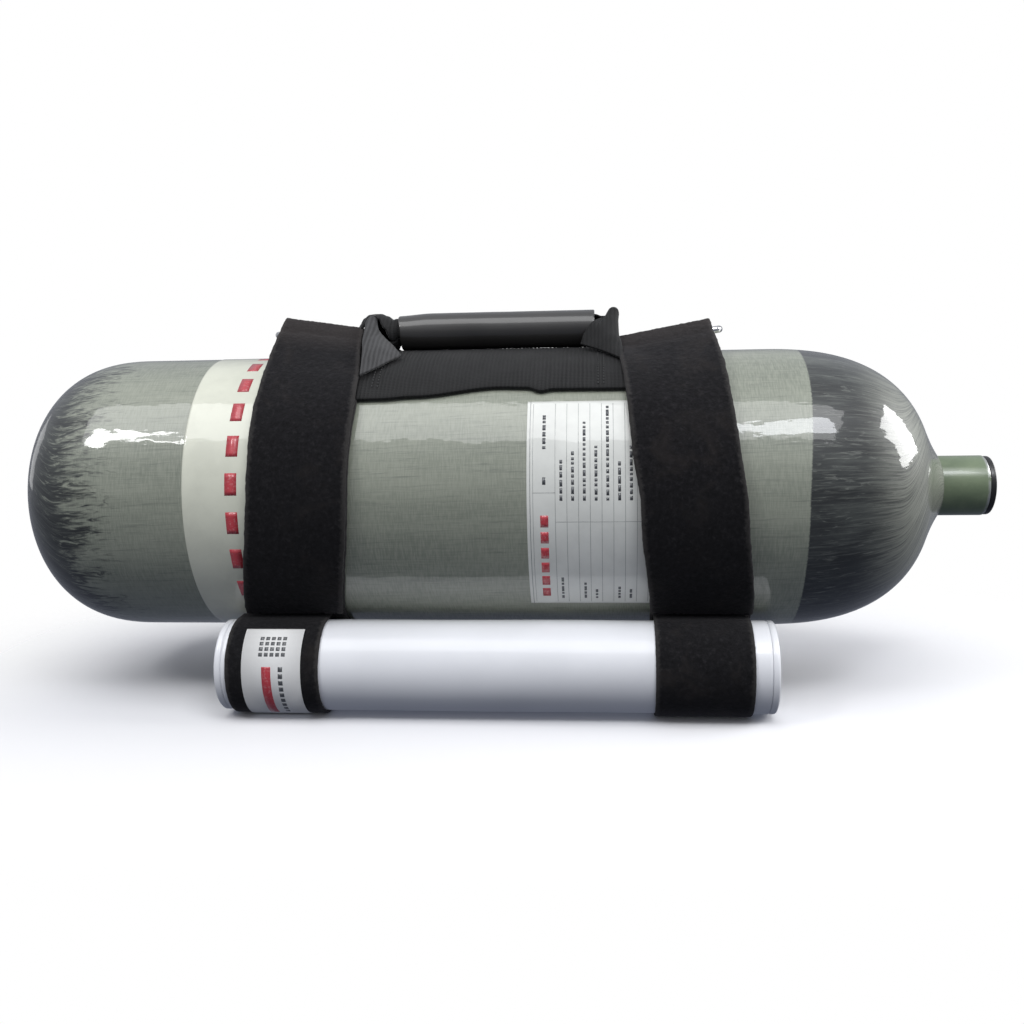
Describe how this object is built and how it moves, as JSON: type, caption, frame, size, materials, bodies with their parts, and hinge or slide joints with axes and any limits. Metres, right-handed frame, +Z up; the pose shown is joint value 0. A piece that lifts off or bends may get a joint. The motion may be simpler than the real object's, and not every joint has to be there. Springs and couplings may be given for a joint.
{
  "type": "breathing apparatus cylinder in a carrier",
  "caption": "Composite breathing-air cylinder with a plugged neck, held by two cinch straps with a webbing carry handle and resting on support tubes.",
  "frame": {"origin": "on the ground, under the middle of the object's bounding box", "axes": "+X along the cylinder towards its neck, -Y towards the side with the strap tails and the data label, +Z up"},
  "size_m": [0.5512, 0.179, 0.2179],
  "materials": {
    "painted_aluminium": "sage green paint over aluminium, satin",
    "carbon_fibre": "carbon fibre in epoxy",
    "glass_fibre": "glass fibre in clear epoxy, high gloss gel coat",
    "marking_film": "cream film under clear gloss",
    "label_film": "white printed film under clear gloss",
    "plug_plastic": "black moulded plastic",
    "seal_rubber": "black nitrile rubber",
    "strap_pile": "black brushed nylon loop pile",
    "hook_tape": "black nylon hook tape",
    "ring_steel": "nickel plated steel wire",
    "label_cloth": "white woven label",
    "webbing": "black ribbed polypropylene webbing",
    "grip_plastic": "black polished plastic tube",
    "tube_plastic": "white PVC, semi gloss"
  },
  "bodies": {
    "carrier": {"left_band": "strap_pile", "right_band": "strap_pile", "left_ring": "ring_steel", "right_ring": "ring_steel", "left_front_loop": "strap_pile", "left_rear_loop": "strap_pile", "right_front_loop": "strap_pile", "right_rear_loop": "strap_pile", "loop_label": "label_cloth", "saddle_webbing": "webbing"},
    "cylinder": {"liner": "painted_aluminium", "carbon_overwrap": "carbon_fibre", "glass_overwrap": "glass_fibre", "marking_band": "marking_film", "data_label": "label_film"},
    "plug_seal": {"plug_oring": "seal_rubber"},
    "plug": {"neck_plug": "plug_plastic"},
    "left_flap": {"left_tail": "strap_pile", "left_hook_patch": "hook_tape"},
    "right_flap": {"right_tail": "strap_pile", "right_hook_patch": "hook_tape"},
    "handle": {"handle_core": "webbing", "left_fold": "webbing", "right_fold": "webbing"},
    "grip": {"handle_grip": "grip_plastic"},
    "front_foot": {"front_tube": "tube_plastic", "front_left_cap": "tube_plastic", "front_right_cap": "tube_plastic"},
    "rear_foot": {"rear_tube": "tube_plastic", "rear_left_cap": "tube_plastic", "rear_right_cap": "tube_plastic"}
  },
  "joints": [
    {"name": "cylinder_slide", "type": "slide", "parent": "carrier", "child": "cylinder", "axis": [1, 0, 0], "range_m": [-0.04, 0.04]},
    {"name": "plug_travel", "type": "slide", "parent": "cylinder", "child": "plug_seal", "axis": [1, 0, 0], "range_m": [0, 0.0121]},
    {"name": "plug_turn", "type": "hinge", "parent": "plug_seal", "child": "plug", "pos_m": [0.275, 0, 0.11466], "axis": [1, 0, 0], "range_deg": [0, 2880]},
    {"name": "left_tail_peel", "type": "hinge", "parent": "carrier", "child": "left_flap", "pos_m": [-0.1001, -0.008, 0.20566], "axis": [-1, 0, 0], "range_deg": [0, 100]},
    {"name": "right_tail_peel", "type": "hinge", "parent": "carrier", "child": "right_flap", "pos_m": [0.0944, -0.008, 0.20116], "axis": [-1, 0, 0], "range_deg": [0, 100]},
    {"name": "handle_lift", "type": "slide", "parent": "carrier", "child": "handle", "axis": [0, 0, 1], "range_m": [0, 0.022]},
    {"name": "grip_spin", "type": "hinge", "parent": "handle", "child": "grip", "pos_m": [-0.002, 0, 0.20736], "axis": [1, 0, 0], "continuous": true},
    {"name": "front_tube_slide", "type": "slide", "parent": "carrier", "child": "front_foot", "axis": [1, 0, 0], "range_m": [-0.04, 0.04]},
    {"name": "rear_tube_slide", "type": "slide", "parent": "carrier", "child": "rear_foot", "axis": [1, 0, 0], "range_m": [-0.04, 0.04]}
  ],
  "couplings": [
    {"joint": "plug_travel", "follows": "plug_turn", "m_per_rad": 0.00023873}
  ]
}
